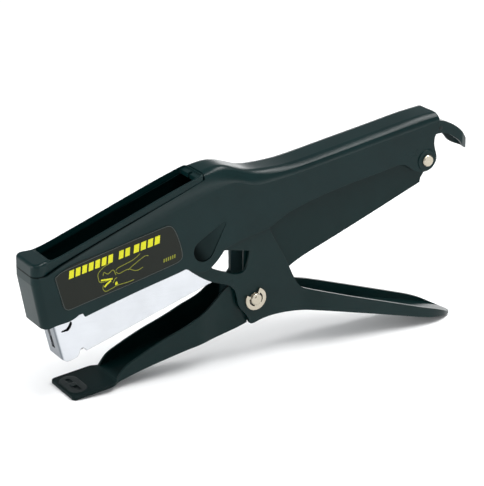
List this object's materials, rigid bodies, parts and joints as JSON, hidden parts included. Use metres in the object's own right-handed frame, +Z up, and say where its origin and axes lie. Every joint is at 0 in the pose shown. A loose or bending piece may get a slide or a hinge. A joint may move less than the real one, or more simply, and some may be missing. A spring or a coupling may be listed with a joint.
{
  "type": "plier stapler",
  "caption": "Hand-held plier stapler: squeezing the lower lever drives the head and its magazine down onto a pad anvil, with a spring-fed pusher drawn back by a rear finger tail.",
  "frame": {"origin": "middle of the overall box in plan, on the bench plane under the pad's front lip and the grip's tip", "axes": "+X from the nose towards the grips and finger tail, +Y across to the side without the label, +Z up"},
  "size_m": [0.2515, 0.025, 0.1153],
  "materials": {
    "casing_enamel": "satin greenish-black enamel",
    "frame_enamel": "satin greenish-black enamel",
    "lever_enamel": "satin greenish-black enamel",
    "label_print": "dark warm grey foil label with plain yellow marks",
    "nickel": "bright nickel plate",
    "warm_nickel": "warm grey nickel plate",
    "hard_steel": "hardened bare steel",
    "spring_steel": "oiled spring wire",
    "black_steel": "matte black"
  },
  "bodies": {
    "frame": {"frame_channel": "frame_enamel", "anvil_plate": "hard_steel", "anvil_rivet": "hard_steel", "pivot_pin": "warm_nickel", "pivot_clips": "warm_nickel", "pivot_washers": "hard_steel", "pivot_spacer": "hard_steel", "return_spring": "spring_steel", "rear_rivet": "warm_nickel", "rear_spacers": "hard_steel"},
    "lever": {"lower_handle": "lever_enamel"},
    "head": {"upper_shell": "casing_enamel", "top_bezel": "casing_enamel", "label_plate": "label_print", "drive_studs": "hard_steel", "driver_blade": "hard_steel", "driver_holder": "black_steel", "driver_rivets": "hard_steel", "magazine_spring": "spring_steel"},
    "magazine": {"magazine_channel": "nickel", "staple_rail": "hard_steel", "magazine_carrier": "black_steel", "carrier_spacers": "black_steel", "carrier_rivets": "hard_steel", "spring_stop": "black_steel"},
    "pusher": {"pusher_block": "black_steel", "pusher_rod": "hard_steel", "pusher_spring": "spring_steel", "finger_tail": "casing_enamel", "tail_pin": "black_steel"}
  },
  "joints": [
    {"name": "lever_squeeze", "type": "hinge", "parent": "frame", "child": "lever", "pos_m": [-0.00464, 0, 0.03316], "axis": [0, -1, 0], "range_deg": [0, 26], "stiffness_Nm_per_rad": 1.1, "springref_deg": -44.98, "deforming": ["return_spring"]},
    {"name": "head_pivot", "type": "hinge", "parent": "frame", "child": "head", "pos_m": [0.09447, 0, 0.09146], "axis": [0, -1, 0], "range_deg": [0, 6.5], "deforming": ["magazine_spring"]},
    {"name": "magazine_pivot", "type": "hinge", "parent": "frame", "child": "magazine", "pos_m": [0.09447, 0, 0.09146], "axis": [0, -1, 0], "range_deg": [0, 4.16]},
    {"name": "pusher_slide", "type": "slide", "parent": "magazine", "child": "pusher", "axis": [0.9475, 0, 0.3198], "range_m": [0, 0.066], "deforming": ["pusher_spring"]}
  ],
  "couplings": [
    {"joint": "head_pivot", "follows": "lever_squeeze", "ratio": 0.25},
    {"joint": "magazine_pivot", "follows": "lever_squeeze", "ratio": 0.16}
  ]
}
